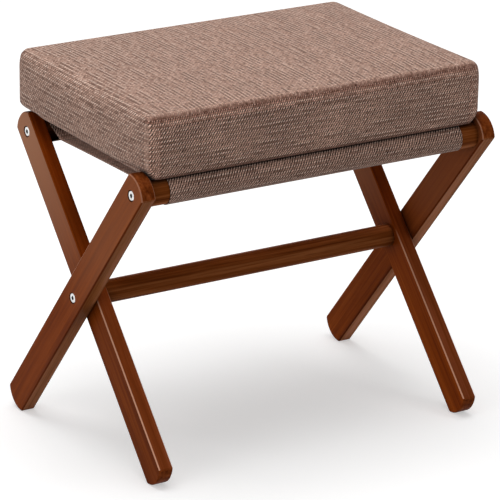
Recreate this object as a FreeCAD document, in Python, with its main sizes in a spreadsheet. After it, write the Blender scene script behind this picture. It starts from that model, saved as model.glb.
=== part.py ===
import FreeCAD, Part
import math
import os
import re
import Sketcher

# Folding footstool: two pairs of crossed hardwood legs, a cloth sling sewn round two rails and a loose
# box cushion. Millimetres, +Z up, X along the rails, front towards -Y, origin on the floor between the feet.
# The outer pair of legs leans to the front and the inner pair to the back; they turn about the stretcher.

SIZES = {
    # Legs: flat bars with both ends cut to an arc
    "frame_length": 484.0,
    "leg_width": 40.0,
    "leg_thickness": 18.0,
    "leg_half_length": 241.5,
    "leg_end_radius": 30.0,
    "leg_edge_chamfer": 1.2,
    "leg_tilt": 41.0,
    # Round bars between the legs
    "rail_setback": 23.5,
    "rail_diameter": 32.0,
    "stretcher_diameter": 28.0,
    # Bolts with a hexagon socket, and the inserts that they screw into
    "bolt_diameter": 6.0,
    "bolt_head_diameter": 12.4,
    "bolt_head_height": 4.0,
    "bolt_head_chamfer": 0.8,
    "bolt_head_recess": 0.6,
    "bolt_socket_width": 5.0,
    "bolt_socket_depth": 2.6,
    "bolt_grip": 16.0,
    "bolt_end_room": 3.0,
    "insert_diameter": 10.0,
    "insert_length": 14.0,
    "hole_clearance": 0.05,
    "head_clearance": 0.8,
    # Dowels that keep the bars from turning in the legs
    "dowel_diameter": 6.0,
    "dowel_offset": 9.0,
    "dowel_in_leg": 9.0,
    "dowel_in_bar": 13.0,
    "dowel_end_room": 0.5,
    # Washers between the legs
    "washer_diameter": 18.0,
    "washer_thickness": 1.1,
    "pivot_play": 0.1,
    # Sling
    "cloth_thickness": 0.9,
    "sleeve_gap": 0.2,
    "sling_side_gap": 4.8,
    "sling_seam_reach": 42.0,
    "sling_drop": 2.8,
    "sling_join_gap": 0.1,
    # Cushion
    "cushion_overhang": 16.7,
    "cushion_height": 75.0,
    "cushion_crown": 5.0,
    "cushion_draw_in": 2.0,
    "cushion_corner_radius": 14.0,
    "cushion_edge_radius": 9.0,
    "cushion_side_gap": 1.0,
    "cushion_rest_gap": 0.3,
    "cover_thickness": 1.2,
    "foam_gap": 0.3,
}

doc = FreeCAD.newDocument("folding_footstool")
sheet = doc.addObject("Spreadsheet::Sheet", "Sizes")
for row, (alias, value) in enumerate(SIZES.items(), start=1):
    sheet.set("A%d" % row, alias.replace("_", " "))
    sheet.set("B%d" % row, str(value))
    sheet.setAlias("B%d" % row, alias)
doc.recompute()

LEFT, RIGHT = -1, 1
FRONT, BACK = -1, 1
AXIS_X = FreeCAD.Vector(1, 0, 0)


def cells(formula):
    """A formula in the sheet's own words, as an expression that names the sheet."""
    return re.sub(r"[a-z]+(?:_[a-z]+)+", r"Sizes.\g<0>", formula)


def number(formula):
    """The present value of such a formula."""
    return float(sheet.evalExpression(cells(formula)))


def bind(item, prop, formula):
    """Ties a property to the sheet."""
    item.setExpression(prop, cells(formula))


# Places worked out from the sizes.
# A foot stands on its end arc, or on the arc's lower corner where the leg leans further than the arc reaches.
ARC_CENTRE = "(leg_half_length - leg_end_radius)"
ARC_HALF_ANGLE = "asin(leg_width / 2 / leg_end_radius)"
CORNER_REACH = f"({ARC_CENTRE} + leg_end_radius * cos({ARC_HALF_ANGLE}))"
PIVOT_Z = (
    f"(leg_tilt * 1deg <= {ARC_HALF_ANGLE}"
    f" ? {ARC_CENTRE} * cos(leg_tilt) + leg_end_radius"
    f" : {CORNER_REACH} * cos(leg_tilt) + leg_width / 2 * sin(leg_tilt))"
)
RAIL_REACH = "(leg_half_length - rail_setback)"
RAIL_Y = f"({RAIL_REACH} * sin(leg_tilt))"
RAIL_Z = f"({PIVOT_Z} + {RAIL_REACH} * cos(leg_tilt))"
OUTER_FACE = "frame_length / 2"
LEG_GAP = "(washer_thickness + pivot_play)"
OUTER_BAY = "(frame_length / 2 - leg_thickness)"
INNER_FACE = f"({OUTER_BAY} - {LEG_GAP})"
INNER_BAY = f"({INNER_FACE} - leg_thickness)"
BOLT_HOLE = "(bolt_diameter + 2 * hole_clearance)"
HEAD_HOLE = "(bolt_head_diameter + 2 * head_clearance)"
HEAD_DEPTH = "(bolt_head_height + bolt_head_recess)"


def new_body(label):
    body = doc.addObject("PartDesign::Body", label)
    body.Label = label
    return body


def place(item, x="0", y="0", z="0", turn=None):
    """Puts a sub-part at x, y, z and turns it about X: turn is (sign, formula in degrees)."""
    if turn:
        sign, angle = turn
        start = number(f"{angle} * 1")
        item.Placement = FreeCAD.Placement(FreeCAD.Vector(), FreeCAD.Rotation(AXIS_X * sign, start))
        bind(item, "Placement.Rotation.Angle", angle)
    for axis, formula in zip("xyz", (x, y, z)):
        bind(item, f"Placement.Base.{axis}", formula)


def new_sketch(body, name, role, offset=None):
    """A sketch on one of the body's own origin planes, moved along the plane's normal by offset."""
    sketch = body.newObject("Sketcher::SketchObject", f"{body.Name}_{name}")
    plane = next(item for item in body.Origin.OriginFeatures if item.Role == role)
    sketch.AttachmentSupport = [(plane, "")]
    sketch.MapMode = "FlatFace"
    if offset:
        bind(sketch, "AttachmentOffset.Base.z", offset)
    doc.recompute()
    return sketch


def pin_point(sketch, edge, end, x, y):
    """Fixes a point of the sketch at the formulas x, y."""
    if x == "0" and y == "0":
        sketch.addConstraint(Sketcher.Constraint("Coincident", edge, end, -1, 1))
        return
    for kind, formula, axis in (("DistanceX", x, -2), ("DistanceY", y, -1)):
        if formula == "0":
            sketch.addConstraint(Sketcher.Constraint("PointOnObject", edge, end, axis))
        else:
            index = sketch.addConstraint(Sketcher.Constraint(kind, -1, 1, edge, end, number(formula)))
            bind(sketch, f"Constraints[{index}]", formula)


def draw_circles(sketch, circles):
    """Circles given as (x, y, diameter)."""
    for x, y, diameter in circles:
        centre = FreeCAD.Vector(number(x), number(y), 0)
        edge = sketch.addGeometry(Part.Circle(centre, FreeCAD.Vector(0, 0, 1), number(diameter) / 2))
        pin_point(sketch, edge, 3, x, y)
        index = sketch.addConstraint(Sketcher.Constraint("Diameter", edge, number(diameter)))
        bind(sketch, f"Constraints[{index}]", diameter)


def draw_outline(sketch, corners, arcs=None):
    """A closed outline through corners, each (x, y). arcs maps the number of the corner where an arc starts
    to its radius and its side: 1 bulges to the right of the way round, -1 to the left."""
    arcs = arcs or {}
    points = [FreeCAD.Vector(number(x), number(y), 0) for x, y in corners]
    first_edge = sketch.GeometryCount
    count = len(points)
    ends = []
    for i, start in enumerate(points):
        stop = points[(i + 1) % count]
        if i not in arcs:
            sketch.addGeometry(Part.LineSegment(start, stop))
            ends.append((1, 2))
            continue
        radius, side = number(arcs[i][0]), arcs[i][1]
        chord = stop - start
        across = FreeCAD.Vector(chord.y, -chord.x, 0).normalize() * side
        rise = radius - math.sqrt(radius ** 2 - chord.Length ** 2 / 4)
        middle = (start + stop) * 0.5 + across * rise
        sketch.addGeometry(Part.Arc(start, middle, stop))
        # Sketched arcs run anticlockwise, so one that bulges to the left is stored the other way round
        ends.append((1, 2) if side > 0 else (2, 1))
    for i, (x, y) in enumerate(corners):
        edge, after = first_edge + i, first_edge + (i + 1) % count
        sketch.addConstraint(Sketcher.Constraint("Coincident", edge, ends[i][1], after, ends[(i + 1) % count][0]))
        pin_point(sketch, edge, ends[i][0], x, y)
        if i in arcs:
            index = sketch.addConstraint(Sketcher.Constraint("Radius", edge, number(arcs[i][0])))
            bind(sketch, f"Constraints[{index}]", arcs[i][0])


def pad(body, sketch, length, reverse=False, both_ways=False):
    feature = body.newObject("PartDesign::Pad", f"{sketch.Name}_pad")
    feature.Profile = sketch
    bind(feature, "Length", length)
    feature.Reversed = reverse
    feature.Midplane = both_ways
    doc.recompute()
    return feature


def pocket(body, sketch, depth, along_normal):
    """Cuts the sketch into the body, to a depth or right through, and makes sure that it removed something."""
    before = body.Shape.Volume
    feature = body.newObject("PartDesign::Pocket", f"{sketch.Name}_pocket")
    feature.Profile = sketch
    feature.Reversed = along_normal
    if depth == "through":
        feature.Type = "ThroughAll"
    else:
        bind(feature, "Length", depth)
    doc.recompute()
    if body.Shape.Volume > before - 1e-3:
        raise RuntimeError(f"{feature.Name} cuts nothing")
    return feature


def pair(label, body):
    """A left piece and its mirror image on the right, as one sub-part."""
    twin = doc.addObject("Part::Mirroring", f"{label}_twin")
    twin.Source = body
    twin.Normal = AXIS_X
    group = doc.addObject("Part::Compound", f"{label}_pair")
    group.Links = [body, twin]
    body.Label = f"{label}_left"
    group.Label = label
    return group


def lean(side_of_top):
    """The turn of a frame about X: the outer frame's top leans to the front, the inner one's to the back."""
    return (-side_of_top, "leg_tilt")


def make_leg(label, side, top):
    """A leg stands upright in its own frame, with its pivot at the origin and its outer face at x = 0."""
    outer = top == FRONT
    body = new_body(label)
    corner_y = CORNER_REACH
    outline = new_sketch(body, "outline", "YZ_Plane")
    draw_outline(
        outline,
        [
            ("leg_width / 2", f"-{corner_y}"),
            ("leg_width / 2", corner_y),
            ("-leg_width / 2", corner_y),
            ("-leg_width / 2", f"-{corner_y}"),
        ],
        {1: ("leg_end_radius", 1), 3: ("leg_end_radius", 1)},
    )
    bar = pad(body, outline, "leg_thickness", reverse=side == RIGHT)
    easing = body.newObject("PartDesign::Chamfer", f"{label}_easing")
    easing.Base = (bar, ["Edge1"])
    easing.UseAllEdges = True
    bind(easing, "Size", "leg_edge_chamfer")
    doc.recompute()

    holes = new_sketch(body, "holes", "YZ_Plane")
    draw_circles(holes, [("0", "0", BOLT_HOLE), ("0", RAIL_REACH, BOLT_HOLE)])
    pocket(body, holes, "through", along_normal=side == LEFT)

    head_places = ["0", RAIL_REACH] if outer else [RAIL_REACH]
    heads = new_sketch(body, "heads", "YZ_Plane")
    draw_circles(heads, [("0", y, HEAD_HOLE) for y in head_places])
    pocket(body, heads, HEAD_DEPTH, along_normal=side == LEFT)

    dowel_places = [f"{RAIL_REACH} - dowel_offset"]
    if not outer:
        dowel_places.append("dowel_offset")
    dowels = new_sketch(body, "dowels", "YZ_Plane", offset="leg_thickness" if side == LEFT else "-leg_thickness")
    draw_circles(dowels, [("0", y, "dowel_diameter + 2 * hole_clearance") for y in dowel_places])
    pocket(body, dowels, "dowel_in_leg + dowel_end_room", along_normal=side == RIGHT)

    face = OUTER_FACE if outer else INNER_FACE
    place(body, x=f"{side} * {face}", z=PIVOT_Z, turn=lean(top))
    return body


def make_bar(label, diameter, half_length, y, z, top, dowel_at):
    """A round bar with the holes for an insert and a dowel in each end."""
    body = new_body(label)
    section = new_sketch(body, "section", "YZ_Plane")
    draw_circles(section, [("0", "0", diameter)])
    pad(body, section, f"2 * {half_length}", both_ways=True)
    cuts = []
    for name, place_z, width, depth in (
        ("insert_hole", "0", "insert_diameter + 2 * hole_clearance", "bolt_grip + bolt_end_room"),
        ("dowel_hole", dowel_at, "dowel_diameter + 2 * hole_clearance", "dowel_in_bar + dowel_end_room"),
    ):
        hole = new_sketch(body, name, "YZ_Plane", offset=f"-{half_length}")
        draw_circles(hole, [("0", place_z, width)])
        cuts.append(pocket(body, hole, depth, along_normal=True))
    mirrored = body.newObject("PartDesign::Mirrored", f"{label}_far_end")
    mirrored.Originals = cuts
    plane = next(item for item in body.Origin.OriginFeatures if item.Role == "YZ_Plane")
    mirrored.MirrorPlane = (plane, [""])
    body.Tip = mirrored
    doc.recompute()
    place(body, y=y, z=z, turn=lean(top))
    return body


def make_bolts(label, head_face, reach_in, y, z):
    """Two bolts. head_face is the distance of a head's face from the middle, reach_in that of the tip."""
    body = new_body(label)
    profile = new_sketch(body, "profile", "XY_Plane")
    shank, head = "bolt_diameter / 2", "bolt_head_diameter / 2"
    tip = f"({head_face} - {reach_in})"
    draw_outline(
        profile,
        [
            ("0", "0"),
            (tip, "0"),
            (tip, f"{shank} - bolt_diameter / 8"),
            (f"{tip} - bolt_diameter / 8", shank),
            ("bolt_head_height", shank),
            ("bolt_head_height", head),
            ("bolt_head_chamfer", head),
            ("0", f"{head} - bolt_head_chamfer"),
        ],
    )
    turned = body.newObject("PartDesign::Revolution", f"{label}_turned")
    turned.Profile = profile
    turned.ReferenceAxis = (profile, ["H_Axis"])
    turned.Angle = 360
    doc.recompute()
    socket = new_sketch(body, "socket", "YZ_Plane")
    point = "bolt_socket_width / sqrt(3)"
    flat = "bolt_socket_width / 2"
    draw_outline(
        socket,
        [
            (point, "0"),
            (f"{point} / 2", flat),
            (f"-{point} / 2", flat),
            (f"-{point}", "0"),
            (f"-{point} / 2", f"-{flat}"),
            (f"{point} / 2", f"-{flat}"),
        ],
    )
    pocket(body, socket, "bolt_socket_depth", along_normal=True)
    place(body, x=f"-{head_face}", y=y, z=z)
    return pair(label, body)


def make_rings(label, inner_diameter, outer_diameter, length, from_middle, y, z):
    """Two plain rings, such as washers or inserts. from_middle is the distance of their outer ends."""
    body = new_body(label)
    section = new_sketch(body, "section", "YZ_Plane")
    draw_circles(section, [("0", "0", outer_diameter), ("0", "0", inner_diameter)])
    pad(body, section, length)
    place(body, x=f"-{from_middle}", y=y, z=z)
    return pair(label, body)


def make_dowels(label, bay, y, z, top, dowel_at):
    """Two dowels, each partly in a leg and partly in the end of a bar. bay is half the distance between
    the legs; dowel_at is their place along the leg, seen from the bar's axis."""
    body = new_body(label)
    section = new_sketch(body, "section", "YZ_Plane", offset="-dowel_in_leg")
    draw_circles(section, [("0", "0", "dowel_diameter")])
    pad(body, section, "dowel_in_leg + dowel_in_bar")
    place(
        body,
        x=f"-{bay}",
        y=f"{y} + {top} * ({dowel_at}) * sin(leg_tilt)",
        z=f"{z} + ({dowel_at}) * cos(leg_tilt)",
    )
    return pair(label, body)


# The sling: its mid-line is tangent to a circle round each rail, and the two layers meet at the seam.
SLEEVE_IN = "(rail_diameter / 2 + sleeve_gap)"
SLEEVE_OUT = f"({SLEEVE_IN} + cloth_thickness)"
SLEEVE_MID = f"({SLEEVE_IN} + cloth_thickness / 2)"
SEAM_DISTANCE = "hypot(sling_seam_reach; sling_drop)"
SEAM_DIP = "atan2(sling_drop; sling_seam_reach)"
TANGENT_ANGLE = f"acos({SLEEVE_MID} / {SEAM_DISTANCE})"
SLING_HALF_WIDTH = f"({INNER_BAY} - sling_side_gap)"


def around_rail(radius, angle, inward):
    """A point at radius from a rail's axis. angle is counted upwards from the way to the seam, and inward is
    the sign of Y that leads from the rail to the middle of the seat."""
    return (
        f"({inward} * {radius} * cos({angle} - {SEAM_DIP}))",
        f"({radius} * sin({angle} - {SEAM_DIP}))",
    )


def make_sleeve(label, rail):
    """The part of the sling that lies on a rail, between the two lines where the cloth leaves it."""
    inward = -rail
    body = new_body(label)
    section = new_sketch(body, "section", "YZ_Plane")
    angles = [f"{TANGENT_ANGLE}", "180deg", f"-{TANGENT_ANGLE}"]
    corners = [around_rail(SLEEVE_OUT, angle, inward) for angle in angles]
    corners += [around_rail(SLEEVE_IN, angle, inward) for angle in reversed(angles)]
    way = -inward
    draw_outline(
        section,
        corners,
        {0: (SLEEVE_OUT, -way), 1: (SLEEVE_OUT, -way), 3: (SLEEVE_IN, way), 4: (SLEEVE_IN, way)},
    )
    pad(body, section, f"2 * {SLING_HALF_WIDTH}", both_ways=True)
    place(body, y=f"{rail} * {RAIL_Y}", z=RAIL_Z)
    return body


def make_sling_panel(label):
    """The stretched part of the sling: two layers from each rail to its seam, one layer between the seams."""
    body = new_body(label)
    section = new_sketch(body, "section", "YZ_Plane")
    half = "cloth_thickness / 2"
    seam_y = f"({RAIL_Y} - sling_seam_reach)"
    inside = f"(cloth_thickness / 2 * {SEAM_DISTANCE} / {SLEEVE_MID})"

    def layer_end(radius, upper, rail):
        """The end of a layer at the rail, short of the sleeve by the gap along the cloth."""
        angle = f"{upper} * {TANGENT_ANGLE}"
        y, z = around_rail(radius, angle, -rail)
        slope = f"({TANGENT_ANGLE} - {upper} * {SEAM_DIP})"
        y = f"({rail} * {RAIL_Y} + {y} - {rail} * sling_join_gap * sin({slope}))"
        z = f"({z} - {upper} * sling_join_gap * cos({slope}))"
        return y, z

    corners = [
        layer_end(SLEEVE_OUT, 1, FRONT),
        (f"-{seam_y}", f"-sling_drop + {half}"),
        (seam_y, f"-sling_drop + {half}"),
        layer_end(SLEEVE_OUT, 1, BACK),
        layer_end(SLEEVE_IN, 1, BACK),
        (f"{seam_y} + {inside}", "-sling_drop"),
        layer_end(SLEEVE_IN, -1, BACK),
        layer_end(SLEEVE_OUT, -1, BACK),
        (seam_y, f"-sling_drop - {half}"),
        (f"-{seam_y}", f"-sling_drop - {half}"),
        layer_end(SLEEVE_OUT, -1, FRONT),
        layer_end(SLEEVE_IN, -1, FRONT),
        (f"-{seam_y} - {inside}", "-sling_drop"),
        layer_end(SLEEVE_IN, 1, FRONT),
    ]
    draw_outline(section, corners)
    pad(body, section, f"2 * {SLING_HALF_WIDTH}", both_ways=True)
    place(body, z=RAIL_Z)
    return body


# The cushion lies on the front sleeve and on the upper corners of the inner legs, so it leans a little.
LEG_CORNER_Y = f"({CORNER_REACH} * sin(leg_tilt) - leg_width / 2 * cos(leg_tilt))"
CUSHION_HALF_LENGTH = f"({OUTER_BAY} - cushion_side_gap)"
CUSHION_HALF_DEPTH = f"({LEG_CORNER_Y} + cushion_overhang)"
REST_RADIUS = f"({SLEEVE_OUT} + cushion_rest_gap)"
LEG_CORNER_Z = f"({PIVOT_Z} + {CORNER_REACH} * cos(leg_tilt) + leg_width / 2 * sin(leg_tilt))"
REST_SPAN = f"({LEG_CORNER_Y} + {RAIL_Y})"
REST_RISE = f"({LEG_CORNER_Z} + cushion_rest_gap - {RAIL_Z})"
CUSHION_TILT = (
    f"(atan2({REST_RISE}; {REST_SPAN}) - asin({REST_RADIUS} / hypot({REST_RISE}; {REST_SPAN})))"
)
CUSHION_Z = f"({RAIL_Z} + {REST_RADIUS} / cos({CUSHION_TILT}) + {RAIL_Y} * tan({CUSHION_TILT}))"


def pillow_corners(half_x, half_y, corner):
    """The eight corners of a rectangle with cut or rounded corners, anticlockwise from the front right."""
    side_x, side_y = f"({half_x} - {corner})", f"({half_y} - {corner})"
    return [
        (side_x, f"-{half_y}"),
        (half_x, f"-{side_y}"),
        (half_x, side_y),
        (side_x, half_y),
        (f"-{side_x}", half_y),
        (f"-{half_x}", side_y),
        (f"-{half_x}", f"-{side_y}"),
        (f"-{side_x}", f"-{half_y}"),
    ]


def make_pillow(label):
    """The outside of the box cushion, lofted through its sections from the flat underside to the crown: its
    sides are drawn in between the corners and its edges are rounded."""
    body = new_body(label)
    edge = "cushion_edge_radius"
    soft = f"({edge} * (1 - sqrt(0.5)))"
    levels = [
        ("0", edge),
        (soft, soft),
        (edge, "0"),
        (f"cushion_height - {edge}", "0"),
        (f"cushion_height - {soft}", soft),
        ("cushion_height", edge),
    ]
    for rise, share in ((0.6, 0.2), (1.0, 0.7)):
        inset = f"({edge} + ({CUSHION_HALF_DEPTH} - {edge}) * {share})"
        levels.append((f"cushion_height + cushion_crown * {rise}", inset))
    corner = "cushion_corner_radius"
    sections = []
    for i, (height, inset) in enumerate(levels):
        section = new_sketch(body, f"section_{i}", "XY_Plane", offset=None if height == "0" else height)
        half_x = f"({CUSHION_HALF_LENGTH} - {inset})"
        half_y = f"({CUSHION_HALF_DEPTH} - {inset})"
        bow_x, bow_y = (
            f"((({half} - {corner}) ^ 2 + cushion_draw_in ^ 2) / (2 * cushion_draw_in))"
            for half in (half_x, half_y)
        )
        bends = {start: (corner, 1) for start in (0, 2, 4, 6)}
        bends.update({1: (bow_y, -1), 3: (bow_x, -1), 5: (bow_y, -1), 7: (bow_x, -1)})
        draw_outline(section, pillow_corners(half_x, half_y, corner), bends)
        sections.append(section)
    loft = body.newObject("PartDesign::AdditiveLoft", f"{label}_loft")
    loft.Profile = sections[0]
    loft.Sections = sections[1:]
    loft.Ruled = True
    doc.recompute()
    return body


def make_block(label, skin):
    """A block with cut edges that fills the cushion, at the distance skin from the cover's outside."""
    body = new_body(label)
    section = new_sketch(body, "section", "XY_Plane", offset=skin)
    half_x, half_y = (
        f"({half} - {skin} - cushion_draw_in)" for half in (CUSHION_HALF_LENGTH, CUSHION_HALF_DEPTH)
    )
    draw_outline(section, pillow_corners(half_x, half_y, "cushion_corner_radius / 2"))
    block = pad(body, section, f"cushion_height - 2 * {skin}")
    cut = body.newObject("PartDesign::Chamfer", f"{label}_edges")
    flat = [f"Face{i}" for i, face in enumerate(block.Shape.Faces, start=1) if abs(face.normalAt(0, 0).z) > 0.9]
    cut.Base = (block, flat)
    bind(cut, "Size", "cushion_edge_radius / 2")
    doc.recompute()
    return body


legs = [
    make_leg("outer_leg_left", LEFT, FRONT),
    make_leg("outer_leg_right", RIGHT, FRONT),
    make_leg("inner_leg_left", LEFT, BACK),
    make_leg("inner_leg_right", RIGHT, BACK),
]

parts = list(legs)
for name, half_length, rail, face in (
    ("front_rail", OUTER_BAY, FRONT, OUTER_FACE),
    ("back_rail", INNER_BAY, BACK, INNER_FACE),
):
    at = {"y": f"{rail} * {RAIL_Y}", "z": RAIL_Z}
    down = "-dowel_offset"
    parts += [
        make_bar(name, "rail_diameter", half_length, top=rail, dowel_at=down, **at),
        make_bolts(f"{name}_bolts", f"({face} - bolt_head_recess)", f"({half_length} - bolt_grip)", **at),
        make_rings(f"{name}_inserts", BOLT_HOLE, "insert_diameter", "insert_length", half_length, **at),
        make_dowels(f"{name}_dowels", half_length, top=rail, dowel_at=down, **at),
    ]

at = {"y": "0", "z": PIVOT_Z}
up = "dowel_offset"
parts += [
    make_bar("stretcher", "stretcher_diameter", INNER_BAY, top=BACK, dowel_at=up, **at),
    make_bolts(
        "pivot_bolts",
        f"({OUTER_FACE} - bolt_head_recess + pivot_play)",
        f"({INNER_BAY} - bolt_grip)",
        **at,
    ),
    make_rings("stretcher_inserts", BOLT_HOLE, "insert_diameter", "insert_length", INNER_BAY, **at),
    make_dowels("stretcher_dowels", INNER_BAY, top=BACK, dowel_at=up, **at),
    make_rings(
        "pivot_washers",
        BOLT_HOLE,
        "washer_diameter",
        "washer_thickness",
        f"({INNER_FACE} + washer_thickness)",
        **at,
    ),
    make_sleeve("sling_front_sleeve", FRONT),
    make_sleeve("sling_back_sleeve", BACK),
    make_sling_panel("sling_panel"),
]

cover = doc.addObject("Part::Cut", "cover_shell")
cover.Base = make_pillow("cover_outside")
cover.Tool = make_block("cover_inside", "cover_thickness")
cover.Label = "cushion_cover"
foam = make_block("cushion_foam", "(cover_thickness + foam_gap)")
for piece in (cover, foam):
    place(piece, z=CUSHION_Z, turn=(1, CUSHION_TILT))
parts += [cover, foam]

doc.recompute()
for item in doc.Objects:
    if "Invalid" in item.State or "Error" in item.State:
        raise RuntimeError(f"{item.Label} failed: {item.State}")
os.makedirs("parts", exist_ok=True)
for piece in parts:
    if piece.Shape.isNull() or not piece.Shape.isValid():
        raise RuntimeError(f"{piece.Label} has no valid shape")
    piece.Shape.exportStep(f"parts/{piece.Label}.step")
    box = piece.Shape.BoundBox
    print(
        f"{piece.Label}: {len(piece.Shape.Solids)} solids, {piece.Shape.Volume:.0f} mm3,"
        f" x {box.XMin:.2f} {box.XMax:.2f}, y {box.YMin:.2f} {box.YMax:.2f}, z {box.ZMin:.2f} {box.ZMax:.2f}"
    )
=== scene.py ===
import math

import bmesh
import bpy
import numpy as np
from mathutils import Matrix, Vector


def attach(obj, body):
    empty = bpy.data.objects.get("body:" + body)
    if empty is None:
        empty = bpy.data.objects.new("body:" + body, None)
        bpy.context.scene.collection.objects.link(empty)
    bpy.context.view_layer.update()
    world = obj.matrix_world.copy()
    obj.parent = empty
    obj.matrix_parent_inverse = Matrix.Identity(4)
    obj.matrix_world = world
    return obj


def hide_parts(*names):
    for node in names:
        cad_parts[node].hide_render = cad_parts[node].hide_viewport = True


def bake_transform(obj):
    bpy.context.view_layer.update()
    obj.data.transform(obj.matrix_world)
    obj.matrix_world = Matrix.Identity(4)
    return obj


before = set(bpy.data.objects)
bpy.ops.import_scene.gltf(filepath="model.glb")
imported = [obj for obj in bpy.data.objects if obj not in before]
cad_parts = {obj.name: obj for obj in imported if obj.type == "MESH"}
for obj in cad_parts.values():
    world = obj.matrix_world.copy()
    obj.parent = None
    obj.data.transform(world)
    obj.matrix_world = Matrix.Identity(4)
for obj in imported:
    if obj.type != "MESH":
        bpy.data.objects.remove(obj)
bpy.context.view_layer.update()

# Legs: four flat bars of planed and stained hardwood, with both ends cut to an arc and all edges eased. They
# cross in pairs and turn on the pivot bolts. The outer pair leans to the front and the inner pair to the back,
# and the grain of each runs along its own slope.
LEG_TILT = math.radians(41.0)
LEG_HALF_WIDTH, LEG_HALF_THICKNESS = 0.0200, 0.0090
OUTER_LEG_X, INNER_LEG_X = 0.2330, 0.2138
PIVOT_Z = 0.18962
LEG_STAIN = [
    (0.34, (0.122, 0.0180, 0.0008, 1)),
    (0.49, (0.208, 0.0375, 0.0025, 1)),
    (0.66, (0.295, 0.0610, 0.0070, 1)),
]
END_STAIN = [
    (0.30, (0.085, 0.0150, 0.0020, 1)),
    (0.52, (0.175, 0.0360, 0.0060, 1)),
    (0.72, (0.270, 0.0650, 0.0150, 1)),
]
LEG_GRAIN, END_GRAIN = (2.6, 62.0, 62.0), (60.0, 150.0, 190.0)
STREAKS, PORES = (6.0, 290.0, 290.0), (38.0, 1150.0, 1150.0)
BROAD_SHARE = 0.52
PORE_DARKENING = (0.60, 0.74, 0.0, 0.45)
VARNISH_ROUGHNESS, VARNISH_SHINE = (0.30, 0.42), 0.012
GRAIN_DEPTH, GRAIN_RELIEF = 0.0006, 0.10
CLOSE_BY, CLOSE_SHADE = 0.040, (0.90, 0.50, 0.0, 0.54)
ABOVE_FLOOR = (-0.20, -0.15)
# The underside is painted paler and whiter, graded along the leg: painted light from the white floor
UNDERSIDE_BOUNCE_TINT, UNDERSIDE_BOUNCE_TONE = (1.34, 2.60, 13.5), (-0.20, 0.20, 1.22, 0.84)
# Upper faces get a tint and a brightness graded along the leg, dark by the crossing: painted light and shade
UPPER_SIDE_TINT, UPPER_FOOT_TINT = (0.90, 0.80, 0.80, 1), (1.10, 1.32, 4.4, 1)
UPPER_LIGHT_TONES = ((-0.22, -0.07, 0.88, 1.28), (0.02, 0.07, 1.0, 0.60), (0.10, 0.21, 1.0, 2.10))
FOOT_BLEND = 0.04
# Pale tones towards the top of the leg sides: a painted reflection of the light
OUTER_REFLECTION, INNER_REFLECTION = (0.400, 0.1500, 0.0660, 1), (0.410, 0.1840, 0.1020, 1)
# The lower edges are darkened as painted shade
LOW_EDGE_SHADE, LOW_EDGE = (0.045, 0.0080, 0.0010, 1), (0.0020, 0.0014, 0.55)
# Pale lines on the upper edges and round the upper end's rim: a painted highlight of the lamp
EDGE_HIGHLIGHT, UPPER_EDGE = (0.95, 0.520, 0.340, 1), (0.0014, 0.0012, 0.66)
HIGHLIGHT_BLEND, HIGHLIGHT_RIM = 0.03, (0.10, 0.14, 0.0, 0.25)
EASED_FACING = math.sqrt(0.5)


def new_material(name):
    """A material with a bare Principled shader. Returns it, its shader and helpers that add and link nodes."""
    material = bpy.data.materials.new(name)
    material.use_nodes = True
    nodes, links = material.node_tree.nodes, material.node_tree.links
    shader = next(node for node in nodes if node.type == "BSDF_PRINCIPLED")

    def add(kind, settings=None, **inputs):
        """A node with its settings, and inputs that are values or other nodes' outputs."""
        node = nodes.new(kind)
        for key, value in (settings or {}).items():
            setattr(node, key, value)
        for key, value in inputs.items():
            key = int(key[1:]) if key[0] == "_" else key.replace("_", " ")
            if isinstance(value, bpy.types.NodeSocket):
                links.new(value, node.inputs[key])
            else:
                node.inputs[key].default_value = value
        return node

    def link(output, socket):
        links.new(output, shader.inputs[socket])

    return material, shader, add, link


def math_node(add, operation, a, b=0.0, c=None):
    values = {"_0": a, "_1": b}
    if c is not None:
        values["_2"] = c
    return add("ShaderNodeMath", {"operation": operation}, **values).outputs[0]


def product(add, *factors):
    """All the factors multiplied, one after another."""
    result = factors[0]
    for factor in factors[1:]:
        result = math_node(add, "MULTIPLY", result, factor)
    return result


def vector_node(add, operation, first, second):
    return add("ShaderNodeVectorMath", {"operation": operation}, _0=first, _1=second).outputs[0]


def scaled(add, colour, level):
    return add("ShaderNodeVectorMath", {"operation": "SCALE"}, _0=colour, Scale=level).outputs[0]


def rescale(add, value, first, last, low=0.0, high=1.0):
    """The value's range from first to last, spread over low to high."""
    return add("ShaderNodeMapRange", None, Value=value, _1=first, _2=last, _3=low, _4=high).outputs[0]


def noise(add, place, scale, detail, roughness, distortion=0.0):
    node = add("ShaderNodeTexNoise", None, Vector=place, Scale=scale, Detail=detail, Roughness=roughness)
    node.inputs["Distortion"].default_value = distortion
    return node.outputs["Fac"]


def mix_colour(add, factor, first, second):
    return add("ShaderNodeMix", {"data_type": "RGBA"}, _0=factor, _6=first, _7=second).outputs[2]


def ramp(add, factor, stops):
    """A colour ramp through stops of (position, colour)."""
    node = add("ShaderNodeValToRGB", None, Fac=factor)
    elements = node.color_ramp.elements
    while len(elements) < len(stops):
        elements.new(0.5)
    for element, (position, colour) in zip(elements, stops):
        element.position = position
        element.color = colour
    return node.outputs[0]


def bump(add, relief, strength, depth):
    return add("ShaderNodeBump", None, Height=relief, Strength=strength, Distance=depth).outputs[0]


def contact_shade(add, reach, levels):
    """How dark a surface turns where another piece lies within reach of it."""
    open_air = add("ShaderNodeAmbientOcclusion", {"samples": 8}, Distance=reach).outputs["AO"]
    return rescale(add, open_air, *levels)


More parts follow.
